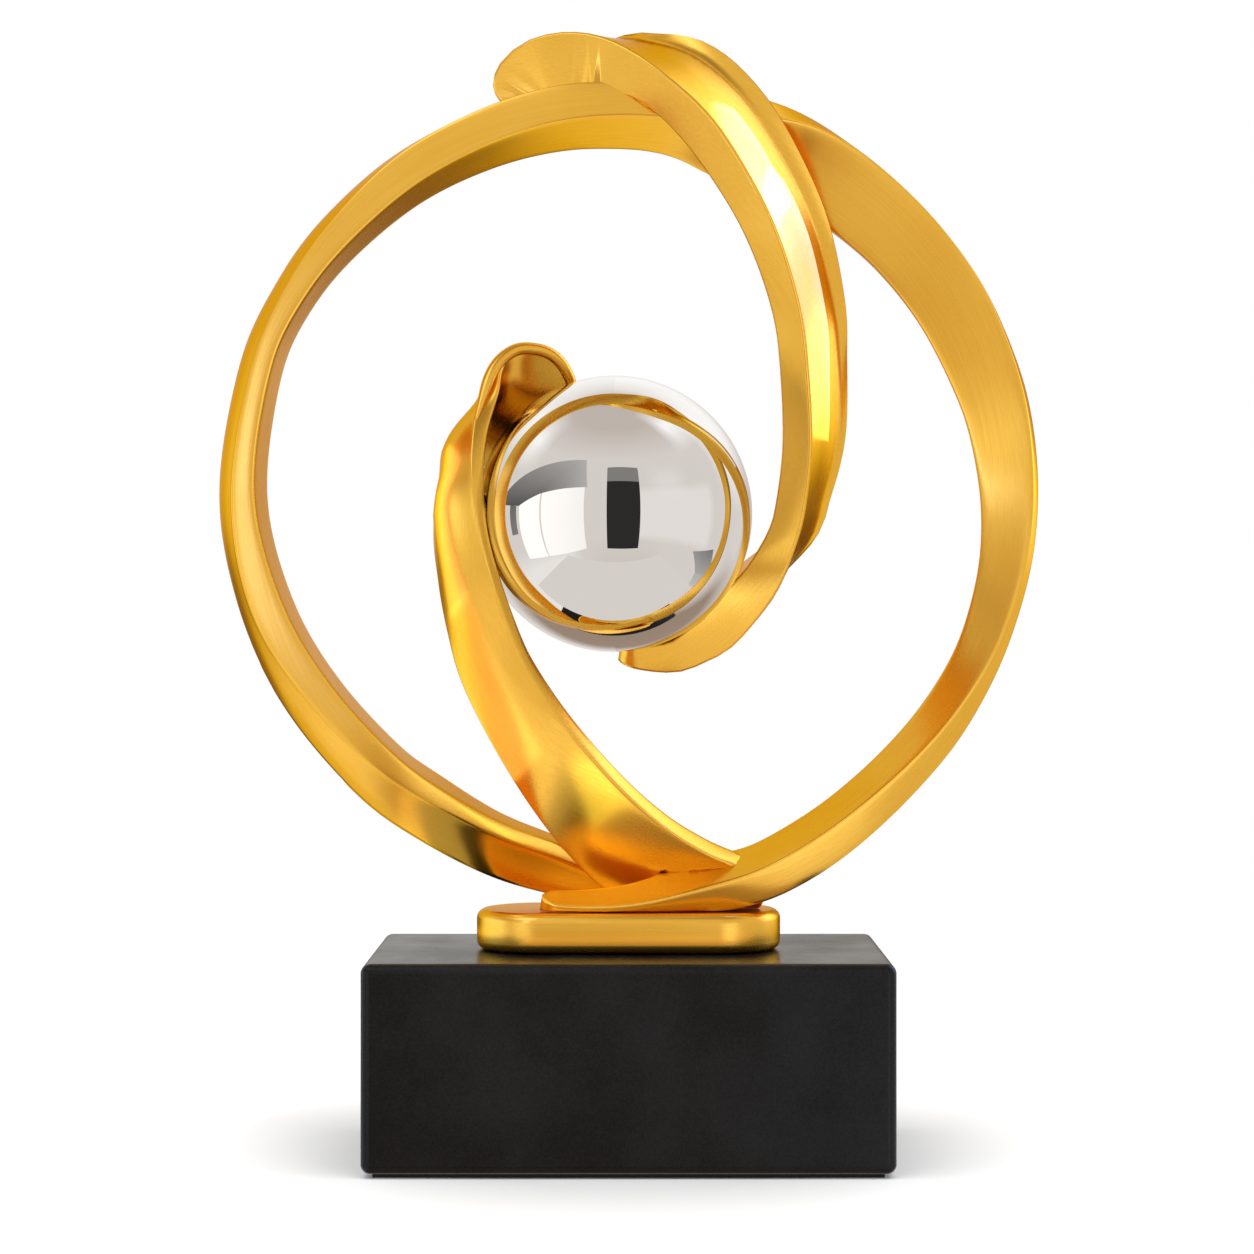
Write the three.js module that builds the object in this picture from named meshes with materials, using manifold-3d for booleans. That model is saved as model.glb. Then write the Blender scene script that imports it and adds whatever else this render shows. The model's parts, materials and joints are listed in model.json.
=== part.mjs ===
// A desk sculpture: three gold bands that hold a mirror ball, on a foot plate and a black block.
// Millimetres and degrees. X points to the right as seen from the front, Y to the back, Z up.
// The origin is the middle of the surface that the block rests on.
import * as THREE from 'three';
import { mergeVertices } from 'three/addons/utils/BufferGeometryUtils.js';
import { RoundedBoxGeometry } from 'three/addons/geometries/RoundedBoxGeometry.js';
import Module from 'manifold-3d';

const wasm = await Module();
wasm.setup();

// Clearances
const seatGap = 0.3; // between pieces that are fitted together
const pinGap = 0.3; // round a pin or a bolt in its hole

// Block and felt
const blockWidth = 140;
const blockDepth = 75;
const blockHeight = 55;
const blockRounding = 2.6;
const feltThickness = 1;
const feltInset = 3;

// Foot plate
const plateLength = 83;
const plateDepth = 35;
const plateThickness = 11;
const plateRounding = 2.6;

// Bolts from below the block into the foot plate
const boltDiameter = 6;
const boltSpacing = 52;
const boltReach = 7; // how far a bolt goes into the foot plate
const boltHeadDiameter = 10;
const boltHeadHeight = 6;
const boltSocketWidth = 5; // across the flats
const boltChamfer = 0.8;
const boltSocketDepth = 3;
const washerDiameter = 12.5;
const washerThickness = 1.6;
const counterboreDepth = 16;

// Screws from below the foot plate into the two ends of the ring
const screwDiameter = 4;
const screwHeadDiameter = 8;
const screwHeadRim = 0.6; // of the head, before its cone
const screwReach = 5; // how far a screw goes into the ring

// The ring
const orbitRadius = 110.6; // of the ring's outer edge
const unit = orbitRadius / 110.6; // one millimetre in the lists of stations, which follow the ring's size
const orbitRise = 2.6; // of the ring's lowest edge over the foot plate
const orbitWidth = 25;
const orbitThickness = 10;

// The ball
const ballDiameter = 75.2;
const ballSide = -3.9; // from the ring's axis, to the right
const ballDrop = 5.5; // below the ring's axis
const ballForward = 3; // before the ring's middle plane

// The two arms
const risingWidth = 28;
const risingThickness = 7;
const crossingWidth = 27;
const crossingThickness = 14.5;
const beadRadius = 0.9; // of the crisp edges of all bands

// Where the screws stand, to the right and to the back of the foot plate's middle
const screwRightPlace = [12 * unit, -6 * unit];
const screwLeftPlace = [15 * unit, 11 * unit];

// Pins
const dowelDiameter = 3;
const dowelLength = 10;
const armDowelSide = 14; // from the middle of the foot plate, to the right
const armDowelForward = 1.5; // before the ring's middle plane
const armDowelRise = 10.5; // of its middle over the foot plate
const crossingPinAngle = 97; // round the ring, from its right side
const crossingPinBack = 10; // behind the ring's front plane
const crossingPinOut = 1.5; // of its middle over the ring's outer edge
const ballPinDiameter = 4;
const ballPinReach = 7; // how far a pin goes into the ball
const ballPinUpperPlace = { fromTip: 46 * unit, share: 0.6 }; // along and across the rising arm
const ballPinLowerPlace = { fromTip: 20 * unit, share: 0.5 }; // along and across the crossing arm
const ballSegments = 40; // round the ball

const blockTop = feltThickness + blockHeight;
const plateBottom = blockTop;
const plateTop = plateBottom + plateThickness;
const orbitHeight = plateTop + orbitRise + orbitRadius;
const ballRadius = ballDiameter / 2;
const ballCentre = new THREE.Vector3(ballSide, -ballForward, orbitHeight - ballDrop);

const gold = { color: 0xe3a93c, metalness: 1, roughness: 0.32 };
const steel = { color: 0xb8b8b8, metalness: 1, roughness: 0.35 };
const mirror = { color: 0xe6e6e6, metalness: 1, roughness: 0.04 };
const black = { color: 0x1c1c1e, metalness: 0, roughness: 0.3 };
const felt = { color: 0x14161a, metalness: 0, roughness: 0.95 };

// Solids and meshes

function toSolid(geometry) {
  const bare = new THREE.BufferGeometry();
  bare.setAttribute('position', geometry.getAttribute('position').clone());
  if (geometry.index) bare.setIndex(geometry.index.clone());
  const merged = mergeVertices(bare, 1e-4);
  return new wasm.Manifold(
    new wasm.Mesh({
      numProp: 3,
      vertProperties: new Float32Array(merged.getAttribute('position').array),
      triVerts: new Uint32Array(merged.index.array),
    }),
  );
}

function toGeometry(solid) {
  const mesh = solid.getMesh();
  const geometry = new THREE.BufferGeometry();
  geometry.setAttribute('position', new THREE.BufferAttribute(new Float32Array(mesh.vertProperties), 3));
  geometry.setIndex(new THREE.BufferAttribute(new Uint32Array(mesh.triVerts), 1));
  return geometry;
}

function cut(solid, ...tools) {
  return tools.reduce((left, tool) => left.subtract(tool), solid);
}

function addPiece(group, name, solid, look) {
  const geometry = toGeometry(solid);
  geometry.computeVertexNormals();
  const mesh = new THREE.Mesh(geometry, new THREE.MeshStandardMaterial(look));
  mesh.name = name;
  group.add(mesh);
}

// A round rod from one point to another
function rod(from, to, diameter, sides = 20) {
  const axis = new THREE.Vector3().subVectors(to, from);
  const geometry = new THREE.CylinderGeometry(diameter / 2, diameter / 2, axis.length(), sides);
  geometry.translate(0, axis.length() / 2, 0);
  const turn = new THREE.Quaternion().setFromUnitVectors(new THREE.Vector3(0, 1, 0), axis.normalize());
  geometry.applyQuaternion(turn);
  geometry.translate(from.x, from.y, from.z);
  return toSolid(geometry);
}

// A turned piece on an upright axis: the profile is a list of radius and height
function turned(profile, x, y, sides = 28) {
  const points = profile.map(([radius, height]) => new THREE.Vector2(radius, height));
  const geometry = new THREE.LatheGeometry(points, sides);
  geometry.rotateX(Math.PI / 2);
  geometry.translate(x, y, 0);
  return toSolid(geometry);
}

function upright(x, y, low, high, diameter, sides) {
  return rod(new THREE.Vector3(x, y, low), new THREE.Vector3(x, y, high), diameter, sides);
}

// Everything below a height, for cutting what stands on the foot plate
function belowHeight(height) {
  const size = 2 * (orbitRadius + blockWidth);
  const geometry = new THREE.BoxGeometry(size, size, size);
  geometry.translate(0, 0, height - size / 2);
  return toSolid(geometry);
}

// Places on a band. The line that is placed is the middle of the band's front edge.

function inFrontView(centre, angle, distance, y) {
  const turn = THREE.MathUtils.degToRad(angle);
  return new THREE.Vector3(
    centre.x + distance * Math.cos(turn),
    y,
    centre.z + distance * Math.sin(turn),
  );
}

const orbitCentre = new THREE.Vector3(0, 0, orbitHeight);

// inset is measured in from the ring's outer edge, back from the ring's front plane
function nearRing(angle, inset, back) {
  const distance = orbitRadius - inset * unit;
  return inFrontView(orbitCentre, angle, distance, back * unit - orbitWidth / 2);
}

// gap is measured out from the ball's surface, swing is the angle behind the ball's middle plane
function nearBall(angle, gap, swing) {
  const reach = ballRadius + gap * unit;
  const lean = THREE.MathUtils.degToRad(swing);
  return inFrontView(ballCentre, angle, reach * Math.cos(lean), ballCentre.y + reach * Math.sin(lean));
}

// widthShare and thicknessShare are shares of the band's full size there, roll turns the
// front edge outwards, swell raises the outer face in its middle or, below zero, hollows it.
function station(place, widthShare, thicknessShare, roll, swell) {
  return { place, widthShare, thicknessShare, roll, swell };
}

const orbitBand = {
  width: orbitWidth,
  thickness: orbitThickness,
  crestShare: 0.5,
  fullness: 0.62,
  follow: 0,
  sections: 112,
  roundStart: { reach: 5 * unit, shrink: 'width' },
  roundEnd: { reach: 6 * unit, shrink: 'width' },
  stations: [
    station(nearRing(-102, -4.9, 0), 0.3, 0.55, 33, 0),
    station(nearRing(-98, -4.7, 0), 0.33, 0.6, 33, 0),
    station(nearRing(-93, -4.2, -0.3), 0.37, 0.7, 33, 0),
    station(nearRing(-88, -3.4, -0.4), 0.43, 0.75, 32, 0),
    station(nearRing(-83, -2.2, -0.5), 0.55, 0.8, 29, 0),
    station(nearRing(-77, -1.6, -0.4), 0.69, 0.9, 24, 0.5),
    station(nearRing(-71, -1.6, -0.2), 0.78, 0.96, 17, 1),
    station(nearRing(-63, -0.3, 0.5), 0.78, 0.97, 17, 1.3),
    station(nearRing(-55, 1, 1.5), 0.75, 0.9, 18, 1.2),
    station(nearRing(-46, 1.6, 3), 0.67, 0.8, 23, 1),
    station(nearRing(-37, 1.2, 4.5), 0.61, 0.7, 30, 1),
    station(nearRing(-28, 0.7, 6), 0.56, 0.54, 40, 0.8),
    station(nearRing(-20, 0.4, 7), 0.55, 0.47, 48, 0.8),
    station(nearRing(-10, -0.3, 8.5), 0.58, 0.45, 56, 0.8),
    station(nearRing(0, -1, 11), 0.63, 0.5, 64, 0.8),
    station(nearRing(10, -1.8, 14), 0.69, 0.7, 72, 0.6),
    station(nearRing(18, -2.3, 15.5), 0.75, 0.85, 76, 0.5),
    station(nearRing(28, -2.9, 17), 0.81, 0.9, 80, 0.4),
    station(nearRing(36, -3, 17.7), 0.83, 0.92, 82, 0.4),
    station(nearRing(45, -3.1, 18), 0.85, 0.95, 84, 0.4),
    station(nearRing(55, -3.7, 17.5), 0.9, 0.95, 82, 0.4),
    station(nearRing(63, -4, 15.5), 0.95, 0.95, 70, 0.4),
    station(nearRing(70, -2, 12), 0.98, 0.93, 46, 0.4),
    station(nearRing(77, 2.2, 5.3), 1, 0.94, 20, 0.4),
    station(nearRing(84, 3.9, 1.2), 1, 0.98, 14.5, 0.4),
    station(nearRing(92, 4, 0.5), 1, 1, 12.5, 0.4),
    station(nearRing(101, 3.8, 0.2), 1, 1.02, 10, 0.8),
    station(nearRing(112, 4.5, 0), 1, 0.99, 6.5, 1.8),
    station(nearRing(125, 5, 0), 1, 0.95, 2.6, 3.2),
    station(nearRing(139, 5.8, 0), 1, 0.76, 0, 4.6),
    station(nearRing(150, 5.7, 0), 1, 0.63, -1, 4.6),
    station(nearRing(161, 6, 0), 1, 0.56, -0.4, 5.2),
    station(nearRing(180, 6.5, 0), 1, 0.65, 1.2, 5.4),
    station(nearRing(197, 8, 0), 1, 0.9, 1.4, 4.8),
    station(nearRing(212, 10.9, 0), 1, 0.8, 1.4, 7.7),
    station(nearRing(228, 12.6, 0), 1, 0.66, 2, 10.1),
    station(nearRing(239, 13.1, 4), 0.86, 0.5, 5, 12),
    station(nearRing(249, 12, 10.5), 0.64, 0.45, 6, 12),
    station(nearRing(258, 10.8, 15.5), 0.48, 0.45, 6, 11.5),
    station(nearRing(267, 6.8, 18), 0.4, 0.5, 3, 8),
    station(nearRing(276, 2.5, 19.5), 0.32, 0.6, 0, 5),
    station(nearRing(285, -2.5, 21), 0.26, 0.6, 0, 2),
  ],
};

const risingBand = {
  width: risingWidth,
  thickness: risingThickness,
  crestShare: 0.5,
  fullness: 0.75,
  follow: 1,
  sections: 60,
  roundStart: null,
  roundEnd: { reach: 11 * unit, shrink: 'width' },
  stations: [
    station(nearRing(-69, -1, 9), 1, 1, 63, 0),
    station(nearRing(-74, 7.8, 8), 1.02, 1, 62, 0),
    station(nearRing(-77.6, 12.7, 6.5), 1.02, 1, 61, 0),
    station(nearRing(-83.7, 21.6, 4), 1.02, 0.9, 60, 0),
    station(nearRing(-92, 33.3, 1.8), 0.99, 0.82, 57, -0.5),
    station(nearBall(-102.5, 20.7, -9.9), 0.96, 0.72, 50, -1),
    station(nearBall(-118.6, 10.6, -13.2), 0.94, 0.64, 45, -1.5),
    station(nearBall(-131, 5.7, -17.5), 0.92, 0.6, 41, -2),
    station(nearBall(-151.8, 1.9, -24.3), 0.88, 0.52, 38, -2.8),
    station(nearBall(-174, 1.6, -26), 0.87, 0.52, 34, -3.6),
    station(nearBall(-190.1, 2.5, -23.6), 0.87, 0.57, 28, -4.6),
    station(nearBall(-203.2, 4.1, -18.1), 0.91, 0.6, 18.5, -5),
    station(nearBall(-213.5, 6.2, -11.6), 0.95, 0.66, 13.5, -5.2),
    station(nearBall(-221.2, 8.8, -5.9), 1, 0.78, -6, -5.2),
    station(nearBall(-228.4, 12.9, -1), 0.98, 0.82, -44, -4.6),
    station(nearBall(-237.5, 21.4, 2.4), 0.94, 0.72, -63, -3.2),
  ],
};

const crossingBand = {
  width: crossingWidth,
  thickness: crossingThickness,
  crestShare: 0.8,
  fullness: 0.55,
  follow: 0,
  sections: 70,
  roundStart: { reach: 7 * unit, shrink: 'width' },
  roundEnd: { reach: 8 * unit, shrink: 'thickness' },
  stations: [
    station(nearBall(-89.1, 2.2, 16), 0.42, 0.38, 11, 0),
    station(nearBall(-80.5, 3.6, 14.3), 0.47, 0.49, 13, 0),
    station(nearBall(-67, 6, 12.6), 0.55, 0.65, 16, 0),
    station(nearBall(-56, 6.2, 12.6), 0.6, 0.79, 16, 0),
    station(nearBall(-48.2, 6.6, 12.5), 0.63, 0.85, 15, 0),
    station(nearBall(-37, 6.1, 11.8), 0.67, 0.88, 12, 0),
    station(nearBall(-24.2, 7.4, 10.1), 0.7, 0.75, 3, -0.5),
    station(nearBall(-8, 9, 6.2), 0.78, 0.62, -16, -1),
    station(nearBall(3.8, 10.7, 2.4), 0.86, 0.61, -21.5, -1.4),
    station(nearBall(21.9, 15.8, -3.3), 0.9, 0.62, -28.5, -1.6),
    station(nearBall(40.1, 25.9, -8.2), 0.91, 0.61, -33, -1.9),
    station(nearRing(49.3, 46.2, -2.5), 0.93, 0.63, -37, -2.3),
    station(nearRing(60.4, 36.2, -6), 0.95, 0.7, -41, -2.6),
    station(nearRing(69.3, 26.4, -8.2), 0.96, 0.76, -43, -2.9),
    station(nearRing(78.8, 13.5, -7.6), 0.93, 0.86, -46.5, -3.2),
    station(nearRing(86.2, 3.3, -5), 0.89, 0.83, -46.5, -3.2),
    station(nearRing(91.8, -3.4, -1.5), 0.82, 0.88, -29.5, -2),
    station(nearRing(95.9, -6.6, 1), 0.74, 1, -9, -0.3),
    station(nearRing(99.5, -8, 3.5), 0.63, 1.06, 0, 0),
    station(nearRing(102.6, -7.4, 5.5), 0.59, 1.06, 0, 0),
    station(nearRing(105.3, -4.2, 7), 0.56, 1.02, 0, 0),
    station(nearRing(107.2, 0.7, 8), 0.52, 0.86, 0, 0),
  ],
};

// Bands: a section is carried along the line of its front edge and rolled as it goes

function splineThrough(triples) {
  return new THREE.CatmullRomCurve3(
    triples.map(([x, y, z]) => new THREE.Vector3(x, y, z)),
    false,
    'catmullrom',
    0.5,
  );
}

// One rounded corner: the last point before it, the middle of its arc and the first point after
function roundedCorner(n, v, inN, inV, outN, outV, radius) {
  const spread = radius * (1 - Math.SQRT1_2);
  return [
    [n - inN * radius, v - inV * radius],
    [n - (inN - outN) * spread, v - (inV - outV) * spread],
    [n + outN * radius, v + outV * radius],
  ];
}

// The section, counterclockwise: n is across the band's thickness, v along its width, front first
function bandSection(width, thickness, swell, band) {
  const side = thickness / 2;
  const end = width / 2;
  const radius = Math.min(beadRadius, 0.3 * thickness, 0.3 * width);
  const crest = band.crestShare;
  const face = [
    [crest / 2, band.fullness],
    [crest, 1],
    [(1 + crest) / 2, band.fullness],
  ].map(([share, height]) => [swell * height, width * share - end]);
  const outerFace = face.map(([n, v]) => [side + n, v]);
  const innerFace = face.map(([n, v]) => [band.follow * n - side, v]).reverse();
  return [
    ...roundedCorner(side, -end, 1, 0, 0, 1, radius),
    ...outerFace,
    ...roundedCorner(side, end, 0, 1, -1, 0, radius),
    ...roundedCorner(-side, end, -1, 0, 0, -1, radius),
    ...innerFace,
    ...roundedCorner(-side, -end, 0, -1, 1, 0, radius),
  ];
}

// How much a rounded end leaves of the band's size, at a distance from the tip
function endShare(rounding, distance) {
  if (!rounding || distance >= rounding.reach) return 1;
  const left = 1 - Math.max(distance, 0) / rounding.reach;
  return Math.max(Math.sqrt(1 - left * left), 0.12);
}

// Distances along the band at which it has a section, closer together at its rounded ends
function sectionDistances(band, length) {
  const start = band.roundStart ? band.roundStart.reach : 0;
  const end = band.roundEnd ? band.roundEnd.reach : 0;
  const endSteps = 6;
  const places = [];
  for (let i = 0; i < endSteps && start > 0; i += 1) {
    places.push(start * (1 - Math.cos((Math.PI / 2) * (i / endSteps))));
  }
  for (let i = 0; i <= band.sections; i += 1) {
    places.push(start + ((length - start - end) * i) / band.sections);
  }
  for (let i = endSteps - 1; i >= 0 && end > 0; i -= 1) {
    places.push(length - end * (1 - Math.cos((Math.PI / 2) * (i / endSteps))));
  }
  return places;
}

// The band's middle, its axes and its sizes at a distance along its front edge
function bandFrame(band, distance) {
  const path = band.path;
  const length = path.getLength();
  const share = THREE.MathUtils.clamp(distance / length, 0, 1);
  const along = path.getUtoTmapping(share);
  const place = path.getPoint(along);
  const forward = path.getTangent(along);
  const outward = new THREE.Vector3(0, 1, 0).cross(forward).normalize();
  const back = new THREE.Vector3().crossVectors(forward, outward);
  const size = band.sizes.getPoint(along);
  const roll = THREE.MathUtils.degToRad(band.rolls.getPoint(along).x);
  const across = outward.clone().multiplyScalar(Math.cos(roll)).addScaledVector(back, Math.sin(roll));
  const wide = back.clone().multiplyScalar(Math.cos(roll)).addScaledVector(outward, -Math.sin(roll));
  const middle = place.clone().addScaledVector(wide, size.x / 2);
  return { middle, forward, across, wide, width: size.x, thickness: size.y, swell: size.z, length };
}

function drawBand(band) {
  band.path = splineThrough(band.stations.map((at) => at.place.toArray()));
  band.path.arcLengthDivisions = 600;
  band.sizes = splineThrough(
    band.stations.map((at) => [
      at.widthShare * band.width,
      at.thicknessShare * band.thickness,
      at.swell * unit,
    ]),
  );
  band.rolls = splineThrough(band.stations.map((at) => [at.roll, 0, 0]));
  return band;
}

// The band as a solid, larger on every side by the value grow
function bandSolid(band, grow = 0) {
  const length = band.path.getLength();
  const rings = sectionDistances(band, length).map((distance) => {
    const frame = bandFrame(band, distance);
    const size = { width: frame.width, thickness: frame.thickness };
    if (band.roundStart) size[band.roundStart.shrink] *= endShare(band.roundStart, distance);
    if (band.roundEnd) size[band.roundEnd.shrink] *= endShare(band.roundEnd, length - distance);
    const shrunk = Math.min(size.width / frame.width, size.thickness / frame.thickness);
    const outline = bandSection(
      size.width + 2 * grow,
      size.thickness + 2 * grow,
      frame.swell * shrunk,
      band,
    );
    return outline.map(([n, v]) => frame.middle.clone()
      .addScaledVector(frame.across, n)
      .addScaledVector(frame.wide, v));
  });
  return toSolid(loft(rings));
}

// Skins rings of points of equal count and closes the two ends round the middles of the ends
function loft(rings) {
  const count = rings[0].length;
  const points = rings.flat();
  const index = [];
  for (let ring = 0; ring < rings.length - 1; ring += 1) {
    for (let point = 0; point < count; point += 1) {
      const a = ring * count + point;
      const b = ring * count + ((point + 1) % count);
      index.push(a, b, b + count, a, b + count, a + count);
    }
  }
  [0, rings.length - 1].forEach((ring) => {
    const middle = new THREE.Vector3();
    rings[ring].forEach((point) => middle.addScaledVector(point, 1 / count));
    for (let point = 0; point < count; point += 1) {
      const a = ring * count + point;
      const b = ring * count + ((point + 1) % count);
      index.push(...(ring === 0 ? [b, a] : [a, b]), points.length);
    }
    points.push(middle);
  });
  const geometry = new THREE.BufferGeometry().setFromPoints(points);
  geometry.setIndex(index);
  return geometry;
}

// Block, felt, foot plate

function stadiumShape(length, depth) {
  const radius = depth / 2;
  const middle = length / 2 - radius;
  const shape = new THREE.Shape();
  shape.moveTo(-middle, -radius);
  shape.lineTo(middle, -radius);
  shape.absarc(middle, 0, radius, -Math.PI / 2, Math.PI / 2, false);
  shape.lineTo(-middle, radius);
  shape.absarc(-middle, 0, radius, Math.PI / 2, (3 * Math.PI) / 2, false);
  return shape;
}

const boltPlaces = [-boltSpacing / 2, boltSpacing / 2];

function blockSolid() {
  const geometry = new RoundedBoxGeometry(blockWidth, blockDepth, blockHeight, 5, blockRounding);
  geometry.translate(0, 0, feltThickness + blockHeight / 2);
  const counterbore = washerDiameter + 2 * pinGap;
  const holes = boltPlaces.flatMap((x) => [
    upright(x, 0, feltThickness - 1, feltThickness + counterboreDepth, counterbore, 28),
    upright(x, 0, feltThickness, blockTop + 1, boltDiameter + 2 * pinGap),
  ]);
  return cut(toSolid(geometry), ...holes);
}

function feltSolid() {
  const width = blockWidth - 2 * feltInset;
  const depth = blockDepth - 2 * feltInset;
  const shape = new THREE.Shape();
  shape.moveTo(-width / 2, -depth / 2);
  shape.lineTo(width / 2, -depth / 2);
  shape.lineTo(width / 2, depth / 2);
  shape.lineTo(-width / 2, depth / 2);
  const geometry = new THREE.ExtrudeGeometry(shape, { depth: feltThickness, bevelEnabled: false });
  return toSolid(geometry);
}

function plateSolid() {
  const shape = stadiumShape(plateLength - 2 * plateRounding, plateDepth - 2 * plateRounding);
  const geometry = new THREE.ExtrudeGeometry(shape, {
    depth: plateThickness - 2 * plateRounding,
    bevelThickness: plateRounding,
    bevelSize: plateRounding,
    bevelSegments: 5,
    curveSegments: 14,
  });
  geometry.translate(0, 0, plateBottom + plateRounding);
  const boltHoles = boltPlaces.map((x) => upright(
    x,
    0,
    plateBottom - 1,
    plateBottom + boltReach + pinGap,
    boltDiameter + 2 * pinGap,
  ));
  const screwHoles = [screwRightPlace, screwLeftPlace].map(([x, y]) => screwSolid(x, y, pinGap));
  return cut(toSolid(geometry), ...boltHoles, ...screwHoles);
}

// The ball, larger by the value grow
function ballShape(grow = 0) {
  const rows = Math.round(ballSegments * 0.65);
  const geometry = new THREE.SphereGeometry(ballRadius + grow, ballSegments, rows);
  geometry.translate(ballCentre.x, ballCentre.y, ballCentre.z);
  return toSolid(geometry);
}

// Fasteners

function boltSolid(x) {
  const headTop = feltThickness + counterboreDepth - washerThickness - seatGap;
  const headBottom = headTop - boltHeadHeight;
  const tip = plateBottom + boltReach - pinGap;
  const profile = [
    [0, headBottom],
    [boltHeadDiameter / 2, headBottom],
    [boltHeadDiameter / 2, headTop - seatGap],
    [boltDiameter / 2, headTop - seatGap],
    [boltDiameter / 2, tip - boltChamfer],
    [boltDiameter / 2 - boltChamfer, tip],
    [0, tip],
  ];
  const socketCorners = boltSocketWidth / Math.cos(Math.PI / 6);
  const socket = upright(x, 0, headBottom - 1, headBottom + boltSocketDepth, socketCorners, 6);
  return cut(turned(profile, x, 0), socket);
}

function washerSolid(x) {
  const top = feltThickness + counterboreDepth - seatGap;
  const inner = boltDiameter / 2 + pinGap;
  const profile = [
    [inner, top - washerThickness],
    [washerDiameter / 2, top - washerThickness],
    [washerDiameter / 2, top],
    [inner, top],
    [inner, top - washerThickness],
  ];
  return turned(profile, x, 0);
}

// A countersunk screw with its head flush in the bottom of the foot plate, larger by the value grow
function screwSolid(x, y, grow = 0) {
  const low = plateBottom + (grow > 0 ? -1 : seatGap);
  const head = screwHeadDiameter / 2 + grow;
  const shank = screwDiameter / 2 + grow;
  const flat = plateBottom + screwHeadRim;
  const tip = plateTop + screwReach + grow;
  const profile = [
    [0, low],
    [head, low],
    [head, flat],
    [shank, flat + (head - shank)],
    [shank, tip],
    [0, tip],
  ];
  return turned(profile, x, y, 20);
}

// Pins between bands and ball

// A pin from a band towards the ball's middle, rooted at a share of the band's width from its front
function ballPinEnds(band, distance, share) {
  const frame = bandFrame(band, distance);
  const bulge = 4 * share * (1 - share) * frame.swell * band.follow;
  const root = frame.middle.clone()
    .addScaledVector(frame.wide, (share - 0.5) * frame.width)
    .addScaledVector(frame.across, bulge);
  const inward = new THREE.Vector3().subVectors(ballCentre, root);
  const gap = inward.length() - ballRadius;
  inward.normalize();
  return { root, tip: root.clone().addScaledVector(inward, gap + ballPinReach), inward };
}

function pinHole(ends, diameter) {
  const from = ends.root.clone().addScaledVector(ends.inward, -pinGap);
  const to = ends.tip.clone().addScaledVector(ends.inward, pinGap);
  return rod(from, to, diameter + 2 * pinGap);
}

function dowelEnds(middle, direction) {
  const inward = direction.clone().normalize();
  const root = middle.clone().addScaledVector(inward, -dowelLength / 2);
  return { root, tip: middle.clone().addScaledVector(inward, dowelLength / 2), inward };
}

function pinSolid(ends, diameter) {
  return rod(ends.root, ends.tip, diameter);
}

const sculpture = new THREE.Group();
drawBand(orbitBand);
drawBand(risingBand);
drawBand(crossingBand);

const ballPinUpper = ballPinEnds(
  risingBand,
  risingBand.path.getLength() - ballPinUpperPlace.fromTip,
  ballPinUpperPlace.share,
);
const ballPinLower = ballPinEnds(
  crossingBand,
  ballPinLowerPlace.fromTip,
  ballPinLowerPlace.share,
);
const armDowel = dowelEnds(
  new THREE.Vector3(armDowelSide, -armDowelForward, plateTop + armDowelRise),
  new THREE.Vector3(0, 0, 1),
);
const crossingPinMiddle = nearRing(crossingPinAngle, -crossingPinOut, crossingPinBack);
const crossingPin = dowelEnds(
  crossingPinMiddle,
  new THREE.Vector3().subVectors(
    crossingPinMiddle,
    nearRing(crossingPinAngle, 0, crossingPinBack),
  ),
);

const plateTopCut = belowHeight(plateTop + seatGap);
const screws = [screwRightPlace, screwLeftPlace].map(([x, y]) => screwSolid(x, y, pinGap));
const orbitRelief = bandSolid(orbitBand, seatGap);
const ballRelief = ballShape(seatGap);

const orbitSolid = cut(
  bandSolid(orbitBand),
  plateTopCut,
  ...screws,
  pinHole(armDowel, dowelDiameter),
  pinHole(crossingPin, dowelDiameter),
);
const risingSolid = cut(
  bandSolid(risingBand),
  orbitRelief,
  plateTopCut,
  ballRelief,
  pinHole(armDowel, dowelDiameter),
  pinHole(ballPinUpper, ballPinDiameter),
);
const crossingSolid = cut(
  bandSolid(crossingBand),
  orbitRelief,
  ballRelief,
  pinHole(crossingPin, dowelDiameter),
  pinHole(ballPinLower, ballPinDiameter),
);
const ballSolid = cut(
  ballShape(),
  pinHole(ballPinUpper, ballPinDiameter),
  pinHole(ballPinLower, ballPinDiameter),
);

addPiece(sculpture, 'base_felt', feltSolid(), felt);
addPiece(sculpture, 'base_block', blockSolid(), black);
addPiece(sculpture, 'foot_plate', plateSolid(), gold);
['left', 'right'].forEach((side, i) => {
  addPiece(sculpture, `base_bolt_${side}`, boltSolid(boltPlaces[i]), steel);
  addPiece(sculpture, `base_washer_${side}`, washerSolid(boltPlaces[i]), steel);
});
addPiece(sculpture, 'band_screw_right', screwSolid(...screwRightPlace), steel);
addPiece(sculpture, 'band_screw_left', screwSolid(...screwLeftPlace), steel);
addPiece(sculpture, 'orbit_band', orbitSolid, gold);
addPiece(sculpture, 'rising_arm', risingSolid, gold);
addPiece(sculpture, 'crossing_arm', crossingSolid, gold);
addPiece(sculpture, 'mirror_ball', ballSolid, mirror);
addPiece(sculpture, 'arm_dowel', pinSolid(armDowel, dowelDiameter), steel);
addPiece(sculpture, 'crossing_pin', pinSolid(crossingPin, dowelDiameter), steel);
addPiece(sculpture, 'ball_pin_upper', pinSolid(ballPinUpper, ballPinDiameter), steel);
addPiece(sculpture, 'ball_pin_lower', pinSolid(ballPinLower, ballPinDiameter), steel);

export default sculpture;
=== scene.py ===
# Dresses the desk sculpture: three gold bands, a mirror ball, a foot plate and a black block.
import json
import math

import bmesh
import bpy
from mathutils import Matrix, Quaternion, Vector
from mathutils.bvhtree import BVHTree

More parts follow.
